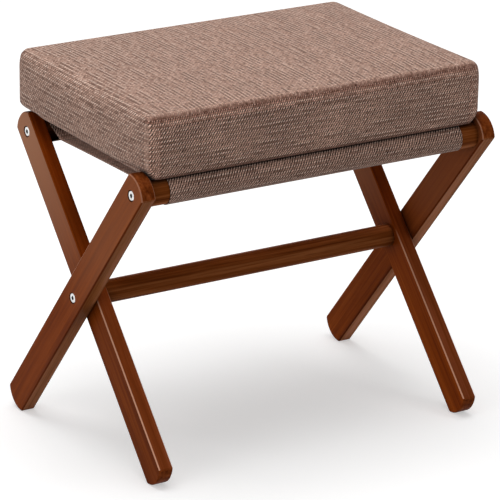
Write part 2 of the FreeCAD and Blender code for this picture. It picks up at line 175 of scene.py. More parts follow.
def stained_wood(name, length, width, seed, stain, broad_grain, leg=None, lit_top=None):
    """Stained hardwood under a satin varnish, with its grain along length. length and width are directions in
    the frame. A leg, whose middle lies at its x, also has darker ends, a paler underside painted as light from
    the white floor, upper faces and lower sides with painted light and shade set along the leg and per leg,
    sides paled towards the top by a painted reflection, lower edges darkened as painted shade, and a painted
    highlight on its upper edges below highlight_from and round the rim of its upper end. A bar can have a top
    painted paler by the tint lit_top, a painted light. Every piece is darkened as painted shade where another
    piece lies close."""
    material, shader, add, link = new_material(name)
    texture = add("ShaderNodeTexCoord")
    normal = texture.outputs["Normal"]
    place = vector_node(add, "SUBTRACT", texture.outputs["Object"], (0.0, 0.0, PIVOT_Z))

    def measure(direction, vector=place):
        dot = add("ShaderNodeVectorMath", {"operation": "DOT_PRODUCT"}, _0=vector, _1=tuple(direction))
        return dot.outputs["Value"]

    along, across = measure(length), measure(width)
    through = measure(Vector(length).cross(Vector(width)))
    lengthways = add("ShaderNodeCombineXYZ", None, X=along, Y=across, Z=through).outputs[0]
    shifted = vector_node(add, "ADD", lengthways, (seed, 0.37 * seed, 0.71 * seed))

    def grain(scale, detail, roughness, distortion=0.0):
        return noise(add, vector_node(add, "MULTIPLY", shifted, scale), 1.0, detail, roughness, distortion)

    def graded(first, last, low, high):
        return rescale(add, along, first, last, low, high)

    broad = grain(broad_grain, 3.0, 0.55, 0.35)
    streaks = grain(STREAKS, 4.0, 0.6)
    pores = grain(PORES, 2.0, 0.5)
    tone = math_node(add, "MULTIPLY_ADD", broad, BROAD_SHARE, product(add, streaks, 1.0 - BROAD_SHARE))
    darkest = stain[0][1]
    colour = mix_colour(add, rescale(add, pores, *PORE_DARKENING), ramp(add, tone, stain), darkest)
    shade = contact_shade(add, CLOSE_BY, CLOSE_SHADE)
    # A bar's top is painted paler: painted light from above
    if lit_top:
        is_top = rescale(add, measure((0, 0, 1), normal), 0.35, 0.95)
        colour = mix_colour(add, is_top, colour, vector_node(add, "MULTIPLY", colour, lit_top))
    if leg:
        facing_end = math_node(add, "ABSOLUTE", measure(length, normal))
        facing_side = math_node(add, "ABSOLUTE", measure((1, 0, 0), normal))
        facing_up = measure(width, normal)
        is_end = rescale(add, facing_end, 0.45, 0.60)
        is_upper = rescale(add, facing_up, 0.80, 0.95)
        is_under = rescale(add, facing_up, -0.80, -0.95)
        is_side = rescale(add, math_node(add, "ABSOLUTE", facing_up), 0.2, 0.1)
        is_foot = graded(FOOT_BLEND, -FOOT_BLEND, 0.0, 1.0)

        def tinted(tint, level):
            return scaled(add, vector_node(add, "MULTIPLY", colour, tint), level)

        # Painted light and shade on the upper faces, graded along the leg
        upper_light_tint = mix_colour(add, is_foot, UPPER_SIDE_TINT, UPPER_FOOT_TINT)
        upper_light_level = product(add, leg["upper"], *(graded(*part) for part in UPPER_LIGHT_TONES))
        colour = mix_colour(add, is_upper, colour, tinted(upper_light_tint, upper_light_level))
        # Painted light from the white floor on the underside
        under_bounce_level = product(add, leg["under"], graded(*UNDERSIDE_BOUNCE_TONE))
        colour = mix_colour(add, is_under, colour, tinted(UNDERSIDE_BOUNCE_TINT, under_bounce_level))
        # Sides below the pivot scaled per leg: painted light and shade
        colour = mix_colour(add, product(add, is_foot, is_side), colour, scaled(add, colour, leg["foot"]))
        # A painted reflection pales the sides towards the top
        reflection = graded(*leg["reflection_over"], 0.0, leg["reflection_share"])
        colour = mix_colour(add, product(add, reflection, is_side), colour, leg["reflection_colour"])
        colour = mix_colour(add, is_end, colour, ramp(add, grain(END_GRAIN, 3.0, 0.6), END_STAIN))
        aside = math_node(add, "ABSOLUTE", measure((1, 0, 0)))
        off_middle = math_node(add, "ABSOLUTE", math_node(add, "SUBTRACT", aside, leg["x"]))
        corner = LEG_HALF_WIDTH + LEG_HALF_THICKNESS

        def edge_line(reach, first, last, strength):
            return rescale(add, reach, corner - first, corner - last, 0.0, strength)

        # Painted shade along the lower edges
        low_edge = edge_line(math_node(add, "SUBTRACT", off_middle, across), *LOW_EDGE)
        colour = mix_colour(add, low_edge, colour, LOW_EDGE_SHADE)
        # Painted highlight along the upper edges, and round the rim of the upper end
        upper_edge = edge_line(math_node(add, "ADD", off_middle, across), *UPPER_EDGE)
        highlighted = graded(leg["highlight_from"], leg["highlight_from"] - HIGHLIGHT_BLEND, 0.0, 1.0)
        colour = mix_colour(add, product(add, upper_edge, highlighted), colour, EDGE_HIGHLIGHT)
        is_eased = math_node(add, "COMPARE", facing_side, EASED_FACING, 0.08)
        round_end = math_node(add, "GREATER_THAN", facing_end, 0.2)
        colour = mix_colour(add, product(add, is_eased, graded(*HIGHLIGHT_RIM), round_end), colour, EDGE_HIGHLIGHT)
        shade = product(add, shade, graded(*ABOVE_FLOOR, 0.0, 1.0))
    link(scaled(add, colour, math_node(add, "SUBTRACT", 1.0, shade)), "Base Color")
    link(rescale(add, streaks, 0.3, 0.7, *VARNISH_ROUGHNESS), "Roughness")
    relief = math_node(add, "MULTIPLY_ADD", pores, 0.6, product(add, streaks, 0.4))
    link(bump(add, relief, GRAIN_RELIEF, GRAIN_DEPTH), "Normal")
    shader.inputs["Specular IOR Level"].default_value = VARNISH_SHINE
    return material


def dress(node, material):
    """Gives a carried-over piece its finish."""
    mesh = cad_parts[node].data
    mesh.materials.clear()
    mesh.materials.append(material)


# Each pair's painted reflection colour and span, and where its painted edge highlight starts
outer = {"x": OUTER_LEG_X, "reflection_colour": OUTER_REFLECTION, "reflection_over": (-0.03, 0.10), "highlight_from": 0.26}
inner = {"x": INNER_LEG_X, "reflection_colour": INNER_REFLECTION, "reflection_over": (0.0, 0.21), "highlight_from": 0.0}
# Each leg's own strengths of painted reflection, and of painted light and shade on its faces
for number, (node, lean, leg) in enumerate(
    (
        ("outer_leg_left", 1, outer | {"reflection_share": 0.36, "foot": 0.94, "upper": 1.0, "under": 1.0}),
        ("outer_leg_right", 1, outer | {"reflection_share": 0.30, "foot": 1.08, "upper": 1.0, "under": 1.25}),
        ("inner_leg_left", -1, inner | {"reflection_share": 1.0, "foot": 0.80, "upper": 1.12, "under": 1.0}),
        ("inner_leg_right", -1, inner | {"reflection_share": 0.95, "foot": 1.34, "upper": 0.90, "under": 1.0}),
    )
):
    slope = (0.0, -lean * math.sin(LEG_TILT), math.cos(LEG_TILT))
    upper_side = (0.0, lean * math.cos(LEG_TILT), math.sin(LEG_TILT))
    seed = 1.7 + 3.1 * number
    dress(node, stained_wood(f"stained_{node}", slope, upper_side, seed, LEG_STAIN, LEG_GRAIN, leg))

# Rails and stretcher: turned bars of the same hardwood, held between the legs by a bolt and a dowel in each
# end. Their grain runs along X, and the stain took darker on them. Their lengthwise light and dark bands are
# partly grain and partly painted reflections of the lamps, and the stretcher's top is painted lighter.
BAR_STAIN = [
    (0.37, (0.085, 0.0165, 0.0015, 1)),
    (0.49, (0.190, 0.0470, 0.0080, 1)),
    (0.62, (0.330, 0.1060, 0.0320, 1)),
]
# Broad bands round the bars: grain and painted reflections of the lamps
BAR_GRAIN_AND_REFLECTIONS = (1.1, 105.0, 105.0)
# The stretcher's top is painted lighter by this tint: painted light from above
STRETCHER_LIT_TOP = (2.3, 2.5, 3.6)
bars = (("front_rail", None), ("back_rail", None), ("stretcher", STRETCHER_LIT_TOP))
for number, (node, lit_top) in enumerate(bars):
    along_x = ((1, 0, 0), (0, 1, 0), 21.3 + 4.3 * number)
    dress(node, stained_wood(f"stained_{node}", *along_x, BAR_STAIN, BAR_GRAIN_AND_REFLECTIONS, lit_top=lit_top))

# Fasteners: zinc-plated socket bolts sunk in the legs and screwed into steel inserts, which sit beside beech
# dowels in the ends of the bars, and nylon washers between the legs at the pivots.
BRIGHT_ZINC, DULL_ZINC, STAINED = (0.80, 0.80, 0.79, 1), (0.48, 0.46, 0.40, 1), 0.72
SOCKET_FLOORS, SOCKET_REACH = (0.2389, 0.2197), 0.0008
SOCKET_SHADE = (0.030, 0.028, 0.026, 1)
BEECH = [(0.35, (0.40, 0.25, 0.13, 1)), (0.65, (0.58, 0.40, 0.24, 1))]
BEECH_FLECKS = (60.0, 900.0, 900.0)
NYLON = [(0.4, (0.012, 0.010, 0.009, 1)), (0.6, (0.022, 0.019, 0.017, 1))]


def plated_steel(name, colour, roughness):
    """Plated steel with a faint turned finish, small stains, and painted shade on the floor of a socket."""
    material, shader, add, link = new_material(name)
    place = add("ShaderNodeTexCoord").outputs["Object"]
    fine = noise(add, place, 900.0, 4.0, 0.7)
    stains = noise(add, place, 240.0, 3.0, 0.6)
    stained = tuple(STAINED * channel for channel in colour[:3]) + (1,)
    plated = ramp(add, stains, [(0.38, stained), (0.62, colour)])
    aside = math_node(add, "ABSOLUTE", add("ShaderNodeSeparateXYZ", None, Vector=place).outputs[0])
    in_socket = 0.0
    for floor_x in SOCKET_FLOORS:
        at_floor = math_node(add, "COMPARE", aside, floor_x, SOCKET_REACH)
        in_socket = math_node(add, "MAXIMUM", in_socket, at_floor)
    # Painted shade, near black, on the floor of each socket
    link(mix_colour(add, in_socket, plated, SOCKET_SHADE), "Base Color")
    link(rescale(add, fine, 0.0, 1.0, roughness - 0.06, roughness + 0.1), "Roughness")
    link(bump(add, fine, 0.08, 0.0002), "Normal")
    shader.inputs["Metallic"].default_value = 1.0
    return material


def plain_finish(name, colours, flecks, detail, roughness, relief, depth, gloss):
    """An unvarnished material with flecks of so many to the metre along each axis."""
    material, shader, add, link = new_material(name)
    place = add("ShaderNodeTexCoord").outputs["Object"]
    place = add("ShaderNodeMapping", None, Vector=place, Scale=flecks).outputs[0]
    speckle = noise(add, place, 1.0, detail, roughness)
    link(ramp(add, speckle, colours), "Base Color")
    link(bump(add, speckle, relief, depth), "Normal")
    shader.inputs["Roughness"].default_value = gloss
    return material


bolt_steel = plated_steel("bright_zinc", BRIGHT_ZINC, 0.24)
insert_steel = plated_steel("dull_zinc", DULL_ZINC, 0.38)
beech = plain_finish("bare_beech", BEECH, BEECH_FLECKS, 3.0, 0.6, 0.15, 0.0004, 0.65)
nylon = plain_finish("plain_nylon", NYLON, (1500.0, 1500.0, 1500.0), 2.0, 0.5, 0.1, 0.0002, 0.5)
for material, nodes in (
    (bolt_steel, ("front_rail_bolts", "back_rail_bolts", "pivot_bolts")),
    (insert_steel, ("front_rail_inserts", "back_rail_inserts", "stretcher_inserts")),
    (beech, ("front_rail_dowels", "back_rail_dowels", "stretcher_dowels")),
    (nylon, ("pivot_washers",)),
):
    for node in nodes:
        dress(node, material)

# Sling: one strip of heavy woven cloth. Each end is wrapped round a rail and sewn back on itself, so a flat
# sleeve holds the rail, and the strip is stretched between the two rails under the cushion.
RAIL_Y, RAIL_Z = 0.14302, 0.35415
SLING_WIDTH, CLOTH = 0.400, 0.0009
SLEEVE_RADIUS, SLEEVE_FREE = 0.01665, 0.005
SEAM_REACH, SEAM_DROP, SEAM_LAP = 0.042, 0.0028, 0.001
SEAM_Y = RAIL_Y - SEAM_REACH
SLING_STEP, SLING_COLUMNS, SLEEVE_STEPS = 0.0028, 101, 28
SAG, RIPPLE, EDGE_PULL = 0.0016, 0.0005, 0.0040
PICK = 0.00255
PAIR_SLUBS, WEFT_SLUBS, WARP_SLUBS, NEXT_YARN = 26.0, 160.0, 60.0, 7.31
SLUB_SHIFT, TWILL_EDGE, WARP_HEIGHT = 1.3, 0.25, 0.55
ROW_DOTS, SLUB_DOTS = 0.35, 1.6
WEFT_COLOURS = [
    (0.34, (0.346, 0.197, 0.146, 1)),
    (0.50, (0.755, 0.467, 0.360, 1)),
    (0.66, (0.980, 0.680, 0.550, 1)),
]
WARP_COLOURS = [
    (0.35, (0.016, 0.007, 0.005, 1)),
    (0.50, (0.032, 0.015, 0.010, 1)),
    (0.66, (0.075, 0.038, 0.028, 1)),
]
HOLLOW_SHADE, UNDULATION_SCALE = (0.05, 0.60, 0.40, 1.06), 24.0
WEAVE_RELIEF, WEAVE_DEPTH = 0.55, 0.0009
CLOTH_CLOSE_BY, CLOTH_CLOSE_SHADE = 0.026, (0.74, 0.15, 0.0, 0.95)
FRONT_WEAVE = (0.0035, 0.140, 0.90, 0.50, 0.99)
# The sling is painted darker, a painted shade from the cushion over it; slow painted shading by patches
SLING_SHADED_TONE, SLING_PATCHES = 0.80, 0.25
# The stretched part's upper face is painted lighter and less shaded, with fewer dark dots: painted light
STRETCHED_BAND, STRETCHED_DOTS, STRETCHED_SHADE, STRETCHED_LIT_TONE = (0.120, 0.098), 0.25, 0.10, 1.04


def weave(add, along, across, twill_run, alternate, dots, uneven, level):
    """Slubby cloth: picks of weft run along the first measure, both in metres, one of each two lighter by
    about alternate, and uneven along their length. Dark warp shows between them in slanting dots, twill_run
    apart and as strong as dots says. Returns the colour, scaled by level, and the relief from 0 to 1."""
    rows = math_node(add, "DIVIDE", across, PICK)
    half_rows = product(add, rows, 0.5)
    slant = math_node(add, "SUBTRACT", math_node(add, "DIVIDE", along, twill_run), half_rows)
    round_pick = math_node(add, "ABSOLUTE", math_node(add, "SINE", product(add, rows, math.pi)))

    def yarn_tone(run, slubs, number, offset):
        yarn = product(add, math_node(add, "FLOOR", number), NEXT_YARN)
        spot = add("ShaderNodeCombineXYZ", None, X=product(add, run, slubs), Y=yarn, Z=offset)
        return noise(add, spot.outputs[0], 1.0, 3.0, 0.65)

    odd_row = math_node(add, "PINGPONG", math_node(add, "FLOOR", rows), 1.0)
    every_other = math_node(add, "SUBTRACT", odd_row, 0.5)
    pair = yarn_tone(along, PAIR_SLUBS, half_rows, 4.0)
    pair_change = add("ShaderNodeMapRange", {"clamp": False}, Value=pair, _1=0.40, _2=0.60, _3=0.1, _4=1.9)
    slub = math_node(add, "SUBTRACT", yarn_tone(along, WEFT_SLUBS, rows, 0.0), 0.5)
    shifted = math_node(add, "MULTIPLY_ADD", slub, SLUB_SHIFT, slant)
    twill = math_node(add, "SINE", product(add, shifted, 2 * math.pi))
    weft_on_top = rescale(add, twill, -TWILL_EDGE, TWILL_EDGE)
    warp_on_top = math_node(add, "SUBTRACT", 1.0, weft_on_top)
    slub_tone = math_node(add, "MULTIPLY_ADD", slub, uneven, 0.5)
    row_tone = product(add, every_other, pair_change.outputs[0])
    weft_tone = math_node(add, "MULTIPLY_ADD", row_tone, alternate, slub_tone)
    slub_dots = math_node(add, "MULTIPLY_ADD", slub, SLUB_DOTS, 1.0)
    row_dots = math_node(add, "MULTIPLY_ADD", every_other, ROW_DOTS, slub_dots)
    weft_colour = ramp(add, weft_tone, WEFT_COLOURS)
    warp_colour = ramp(add, yarn_tone(across, WARP_SLUBS, slant, 9.0), WARP_COLOURS)
    colour = mix_colour(add, product(add, warp_on_top, product(add, row_dots, dots)), weft_colour, warp_colour)
    high = product(add, round_pick, weft_on_top)
    return scaled(add, colour, level), math_node(add, "MULTIPLY_ADD", warp_on_top, WARP_HEIGHT, high)


def finish_cloth(material_parts, colour, relief, place, patches, shelter=1.0):
    """Joins a weave to the shader: painted shade in the hollows between the yarns, fuzz, slow patches of
    painted shading for soft undulations of the cloth, and painted shade where another piece lies close, as
    strong as shelter says."""
    material, shader, add, link = material_parts
    # Slow patches of painted shading stand in for soft undulations of the cloth
    undulation_shading = math_node(add, "SUBTRACT", noise(add, place, UNDULATION_SCALE, 1.0, 0.4), 0.5)
    slow_shading = math_node(add, "MULTIPLY_ADD", undulation_shading, patches, 1.0)
    shade = product(add, contact_shade(add, CLOTH_CLOSE_BY, CLOTH_CLOSE_SHADE), shelter)
    light = math_node(add, "SUBTRACT", 1.0, shade)
    # Painted shade in the hollows and where pieces lie close, and slow painted shading
    link(scaled(add, colour, product(add, rescale(add, relief, *HOLLOW_SHADE), slow_shading, light)), "Base Color")
    link(bump(add, relief, WEAVE_RELIEF, WEAVE_DEPTH), "Normal")
    shader.inputs["Roughness"].default_value = 0.88
    shader.inputs["Specular IOR Level"].default_value = 0.04
    shader.inputs["Sheen Weight"].default_value = 0.14
    shader.inputs["Sheen Roughness"].default_value = 0.45
    return material


def sling_path():
    """The cloth's mid-line in the plane across the rails, from the front seam round to the back seam."""
    dip = math.atan2(SEAM_DROP, SEAM_REACH)
    tangent = math.acos(SLEEVE_RADIUS / math.hypot(SEAM_REACH, SEAM_DROP))

    def round_rail(rail, first, last):
        for i in range(SLEEVE_STEPS + 1):
            angle = first + (last - first) * i / SLEEVE_STEPS - dip
            y = rail * RAIL_Y - rail * SLEEVE_RADIUS * math.cos(angle)
            yield (y, RAIL_Z + SLEEVE_RADIUS * math.sin(angle))

    level = RAIL_Z - SEAM_DROP
    under = level - CLOTH * 1.05
    path = [(-SEAM_Y - SEAM_LAP, under)]
    path += list(round_rail(-1, -tangent, -2 * math.pi + tangent))
    path += [(-SEAM_Y, level), (SEAM_Y, level)]
    path += list(round_rail(1, tangent, 2 * math.pi - tangent))
    path += [(SEAM_Y + SEAM_LAP, under)]
    return path


def even_steps(path, step):
    """The same line, divided into even steps of about that length."""
    points = np.array(path)
    lengths = np.concatenate([[0.0], np.cumsum(np.linalg.norm(np.diff(points, axis=0), axis=1))])
    count = int(round(lengths[-1] / step)) + 1
    at = np.linspace(0.0, lengths[-1], count)
    return np.column_stack([np.interp(at, lengths, points[:, k]) for k in (0, 1)]), at


def mesh_object(name, mesh):
    item = bpy.data.objects.new(name, mesh)
    bpy.context.scene.collection.objects.link(item)
    return item


def smooth(mesh):
    for polygon in mesh.polygons:
        polygon.use_smooth = True


line, run = even_steps(sling_path(), SLING_STEP)
across = np.linspace(-SLING_WIDTH / 2, SLING_WIDTH / 2, SLING_COLUMNS)
points = []
for y, z in line:
    middle = max(0.0, 1.0 - (y / SEAM_Y) ** 2)
    for x in across:
        edge = abs(x) / (SLING_WIDTH / 2)
        sag = SAG * middle * (1.0 - 0.7 * edge ** 2) + RIPPLE * middle * math.sin(41.0 * x + 3.0 * y)
        points.append((x * (1.0 - EDGE_PULL * middle * edge ** 6), y, z - sag))
first_corners = [r * SLING_COLUMNS + c for r in range(len(line) - 1) for c in range(SLING_COLUMNS - 1)]
faces = [(i, i + 1, i + SLING_COLUMNS + 1, i + SLING_COLUMNS) for i in first_corners]
sling_mesh = bpy.data.meshes.new("sling")
sling_mesh.from_pydata(points, [], faces)
smooth(sling_mesh)
cloth_uv = sling_mesh.uv_layers.new(name="cloth")
for loop in sling_mesh.loops:
    row, column = divmod(loop.vertex_index, SLING_COLUMNS)
    cloth_uv.data[loop.index].uv = (across[column], run[row])
sling = mesh_object("sling_cloth", sling_mesh)
thick = sling.modifiers.new("cloth", "SOLIDIFY")
thick.thickness = CLOTH
thick.offset = 0.0

parts = new_material("sling_weave")
add = parts[2]
flat = add("ShaderNodeSeparateXYZ", None, Vector=add("ShaderNodeUVMap", {"uv_map": "cloth"}).outputs[0])
texture = add("ShaderNodeTexCoord")
facing_up = add("ShaderNodeSeparateXYZ", None, Vector=texture.outputs["Normal"]).outputs[2]
off_middle = math_node(add, "SUBTRACT", flat.outputs[1], float(run[-1]) / 2)
# The upper face of the stretched part is painted lighter and the rest darker: painted light and shade
lit_stretch = rescale(add, math_node(add, "ABSOLUTE", off_middle), *STRETCHED_BAND)
lit_stretch = product(add, lit_stretch, rescale(add, facing_up, 0.2, 0.6))
sling_weave = list(FRONT_WEAVE)
sling_weave[2] = rescale(add, lit_stretch, 0.0, 1.0, FRONT_WEAVE[2], STRETCHED_DOTS)
colour, relief = weave(add, flat.outputs[0], flat.outputs[1], *sling_weave)
colour = scaled(add, colour, rescale(add, lit_stretch, 0.0, 1.0, SLING_SHADED_TONE, STRETCHED_LIT_TONE))
shelter = rescale(add, lit_stretch, 0.0, 1.0, 1.0, STRETCHED_SHADE)
place = texture.outputs["Object"]
sling_mesh.materials.append(finish_cloth(parts, colour, relief, place, SLING_PATCHES, shelter))
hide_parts("sling_panel", "sling_front_sleeve", "sling_back_sleeve")
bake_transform(sling)

# Cushion: a loose box cushion, foam in a cover of the same cloth. One strip of cloth runs over the top, the
# ends and the bottom. The front and back are panels of their own, sewn in and topstitched round their edges.
HALF_LENGTH, HALF_DEPTH, HEIGHT = 0.2235, 0.1556, 0.0756
END_SWELL, PANEL_SWELL, SWELL_CAP = 0.0045, 0.0012, 0.0045
EDGE_ROUND, END_ROUND = 0.0055, 0.0095
CUSHION_TILT = math.radians(1.626)
CUSHION_PLACE = Matrix.Translation((0.0, 0.0, 0.37562)) @ Matrix.Rotation(CUSHION_TILT, 4, "X")
MESH_STEP, SWELL_STEPS = 0.005, 20
SEAM_HALF_X = HALF_LENGTH + 0.0015
SEAM_LOW, SEAM_HIGH = 0.0010, HEIGHT - 0.0055
SEAM_MIDDLE, SEAM_HALF_Z = (SEAM_HIGH + SEAM_LOW) / 2, (SEAM_HIGH - SEAM_LOW) / 2
PANEL_BAND, SEWN_BAND, RIM_BAND = 0.012, 0.004, 0.007
SEAM_DEPTH, SEAM_WIDTH = 0.0010, 0.0032
STITCH_DEPTH, STITCH_WIDTH, TOPSTITCH_IN, TOPSTITCH_DOWN = 0.0005, 0.0020, 0.0140, 0.0090
PUCKER_DEPTH, PUCKER_WIDTH, PUCKER_IN = 0.00018, 0.0055, 0.004
PUCKERS = ((1.0, 410.0, 1.3), (0.7, 263.0, 0.4), (0.5, 731.0, 0.0))
LEG_TOPS, LEG_TOP_CLEAR, LEG_TOP_BAND = (0.085, 0.115), 0.006, 0.0085
SWELL_RISE, TOP_EASE, TOP_LESS = 0.011, 0.022, 0.4
SLEEVE_TOP, RAIL_WRAP, LOW_BAND = 0.0171, 0.0125, 0.030
END_DROOP, DROOP_X, DROOP_Y = 0.0025, (0.203, 0.222), (-0.118, -0.098)
TOP_WEAVE, END_WEAVE = (0.0052, 0.20, 0.50, 0.95, 0.770), (0.0044, 0.14, 0.54, 0.85, 0.800)
BORDER_WEAVE, EDGE_ALTERNATE, EDGE_DOTS = (0.0031, 0.14, 0.80, 1.00, 1.20), 0.05, 0.32
# Strength of the slow painted shading on the top and on the panels
TOP_PATCHES, PANEL_PATCHES = 0.26, 0.50
# Seams and topstitching are darkened as painted shade in their creases, and along the bottom of the panels
BORDER_TINT, SEAM_SHADE_TINT, LOW_SEAM_SHADE_TINT = (0.97, 0.94, 0.93), (0.55, 0.42, 0.39), (0.45, 0.38, 0.36)
SEAM_SHADE, SEAM_CHANGE, LOW_SEAM_SHADE = (0.0052, 0.0012), (0.38, 0.62, 0.35, 1.0), 0.0030
STITCH_SHADE = (0.0016, 0.0005, 0.0, 0.40)


def applied(item):
    """The object's mesh with its modifiers applied."""
    graph = bpy.context.evaluated_depsgraph_get()
    return bpy.data.meshes.new_from_object(item.evaluated_get(graph))


def numbers_of(mesh, field):
    """One vector field of all the vertices as an array."""
    values = np.zeros(len(mesh.vertices) * 3)
    mesh.vertices.foreach_get(field, values)
    return values.reshape(-1, 3)


def set_points(mesh, points):
    mesh.vertices.foreach_set("co", np.asarray(points, float).ravel())
    mesh.update()


def past_seams(points):
    """How far the points lie outside the panels' seams, sideways and up or down."""
    off_middle_z = np.abs(points[:, 2] - SEAM_MIDDLE)
    return np.abs(points[:, 0]) - SEAM_HALF_X, off_middle_z - SEAM_HALF_Z


def ease(values, first, last):
    share = np.clip((values - first) / (last - first), 0.0, 1.0)
    return share * share * (3.0 - 2.0 * share)


def bell(distance, width):
    return np.exp(-((distance / width) ** 2))


block = bmesh.new()
bmesh.ops.create_cube(block, size=1.0)
bmesh.ops.scale(block, vec=(2 * HALF_LENGTH, 2 * HALF_DEPTH, HEIGHT), verts=block.verts)
bmesh.ops.translate(block, vec=(0.0, 0.0, HEIGHT / 2), verts=block.verts)
end_edges = [e for e in block.edges if abs(e.verts[0].co.y - e.verts[1].co.y) > HALF_DEPTH]
bmesh.ops.bevel(block, geom=end_edges, offset=END_ROUND, segments=5, profile=0.5, affect="EDGES")
panel_edges = [e for e in block.edges if all(abs(abs(v.co.y) - HALF_DEPTH) < 1e-6 for v in e.verts)]
bmesh.ops.bevel(block, geom=panel_edges, offset=EDGE_ROUND, segments=3, profile=0.5, affect="EDGES")
block_mesh = bpy.data.meshes.new("cushion")
block.to_mesh(block_mesh)
block.free()
cushion = mesh_object("cushion", block_mesh)
remesh = cushion.modifiers.new("even", "REMESH")
remesh.mode = "VOXEL"
remesh.voxel_size = MESH_STEP
even = applied(cushion)
cushion.modifiers.clear()
cushion.data = even
points = numbers_of(even, "co")

# Air pressure swells the cover between its sewn edges, which hold still
near_panel = HALF_DEPTH - np.abs(points[:, 1]) < PANEL_BAND
near_seam = np.maximum(*past_seams(points)) > -SEWN_BAND
sewn = cushion.vertex_groups.new(name="sewn")
sewn.add([int(i) for i in np.flatnonzero(near_panel & near_seam)], 1.0, "REPLACE")
cover = cushion.modifiers.new("cover", "CLOTH")
cover.settings.quality = 6
cover.settings.mass = 0.3
cover.settings.tension_stiffness = 20.0
cover.settings.compression_stiffness = 20.0
cover.settings.bending_stiffness = 2.0
cover.settings.use_pressure = True
cover.settings.uniform_pressure_force = 4.0
cover.settings.vertex_group_mass = "sewn"
cover.settings.effector_weights.gravity = 0.0
cover.collision_settings.use_collision = False
for step in range(1, SWELL_STEPS + 1):
    bpy.context.scene.frame_set(step)
moved = numbers_of(applied(cushion), "co") - points
cushion.modifiers.clear()
cushion.vertex_groups.clear()
bpy.context.scene.frame_set(1)
distance = np.linalg.norm(moved, axis=1, keepdims=True)
points = points + moved * np.minimum(1.0, SWELL_CAP / np.maximum(distance, 1e-9))
set_points(even, points)

finer = cushion.modifiers.new("fine", "SUBSURF")
finer.levels = finer.render_levels = 1
fine = applied(cushion)
cushion.modifiers.clear()
cushion.data = fine
smooth(fine)

# Bring the ends and panels to their finished sizes. The ends swell above the leg tops, the underside is flat
# on the inner legs, and its front and end edges droop over the rail and past the sling
points = numbers_of(fine, "co")
share_x = np.clip(np.abs(points[:, 0]) / HALF_LENGTH, 0.0, 1.0)
share_y = np.clip(np.abs(points[:, 1]) / HALF_DEPTH, 0.0, 1.0)
by_leg_tops = ease(-points[:, 1], *LEG_TOPS)
swell_from = LEG_TOP_CLEAR * by_leg_tops
full_height = ease(points[:, 2], swell_from, swell_from + SWELL_RISE)
full_height *= 1.0 - TOP_LESS * ease(points[:, 2], HEIGHT - TOP_EASE, HEIGHT)
points[:, 2] = np.maximum(points[:, 2], 0.0)
low = 1.0 - ease(points[:, 2], 0.0, LOW_BAND)
past_rail = np.clip(-points[:, 1] - RAIL_Y, 0.0, RAIL_WRAP)
front_droop = SLEEVE_TOP - np.sqrt(SLEEVE_TOP ** 2 - past_rail ** 2)
end_droop = END_DROOP * ease(np.abs(points[:, 0]), *DROOP_X) * ease(-points[:, 1], *DROOP_Y)
points[:, 2] -= low * np.maximum(front_droop, end_droop)
points[:, 0] += np.sign(points[:, 0]) * END_SWELL * full_height * share_x ** 6
points[:, 1] += np.sign(points[:, 1]) * PANEL_SWELL * full_height * share_y ** 6
near_legs = (points[:, 2] < LEG_TOP_BAND) & (by_leg_tops > 0.0)
room = HALF_LENGTH + END_SWELL * (1.0 - by_leg_tops[near_legs])
points[near_legs, 0] = np.clip(points[near_legs, 0], -room, room)
set_points(fine, points)

# Draw the cover in along its seams and topstitching, with small puckers beside the seams
on_panel = np.clip((np.abs(numbers_of(fine, "normal")[:, 1]) - 0.35) / 0.4, 0.0, 1.0)
off_seam_x, off_seam_z = past_seams(points)
off_seam = np.maximum(off_seam_x, off_seam_z)
off_stitch = np.maximum(off_seam_x + TOPSTITCH_IN, points[:, 2] - SEAM_HIGH + TOPSTITCH_DOWN)
beside = np.where(off_seam_x > off_seam_z, points[:, 2], points[:, 0])
pucker = sum(size * np.sin(beside * waves + start) for size, waves, start in PUCKERS)
inwards = SEAM_DEPTH * bell(off_seam, SEAM_WIDTH) + STITCH_DEPTH * bell(off_stitch, STITCH_WIDTH)
inwards += PUCKER_DEPTH * pucker * bell(off_seam + PUCKER_IN, PUCKER_WIDTH)
points[:, 1] -= np.sign(points[:, 1]) * on_panel * inwards
set_points(fine, points)

parts = new_material("cushion_weave")
add = parts[2]


def choose(factor, no, yes):
    return add("ShaderNodeMix", {"data_type": "FLOAT"}, _0=factor, _2=no, _3=yes).outputs[0]


def over(value, limit):
    return math_node(add, "GREATER_THAN", value, limit)


def distance_of(value, middle=0.0):
    return math_node(add, "ABSOLUTE", math_node(add, "SUBTRACT", value, middle))


def darkened(colour, factor, tint):
    """The colour multiplied by the tint where the factor is 1."""
    return mix_colour(add, factor, colour, vector_node(add, "MULTIPLY", colour, tint))


texture = add("ShaderNodeTexCoord")
place = texture.outputs["Object"]
x, y, z = add("ShaderNodeSeparateXYZ", None, Vector=place).outputs
facing = add("ShaderNodeSeparateXYZ", None, Vector=texture.outputs["Normal"]).outputs
facing_x, facing_y, facing_z = (distance_of(axis) for axis in facing)
past_x = math_node(add, "SUBTRACT", distance_of(x), SEAM_HALF_X)
past_z = math_node(add, "SUBTRACT", distance_of(z, SEAM_MIDDLE), SEAM_HALF_Z)
past_top = math_node(add, "SUBTRACT", z, SEAM_HIGH)
past_stitch_x = math_node(add, "ADD", past_x, TOPSTITCH_IN)
past_stitch_z = math_node(add, "ADD", past_top, TOPSTITCH_DOWN)
past_stitch = math_node(add, "MAXIMUM", past_stitch_x, past_stitch_z)
past_seam = math_node(add, "MAXIMUM", past_x, past_z)
by_panel = over(distance_of(y), HALF_DEPTH - PANEL_BAND)
inside_seam = product(add, by_panel, math_node(add, "LESS_THAN", past_seam, 0.0))
in_border = over(past_stitch, 0.0)
on_front = over(facing_y, math_node(add, "MAXIMUM", facing_x, facing_z))
beside_panel = over(past_x, past_z)
is_end = over(facing_x, facing_z)
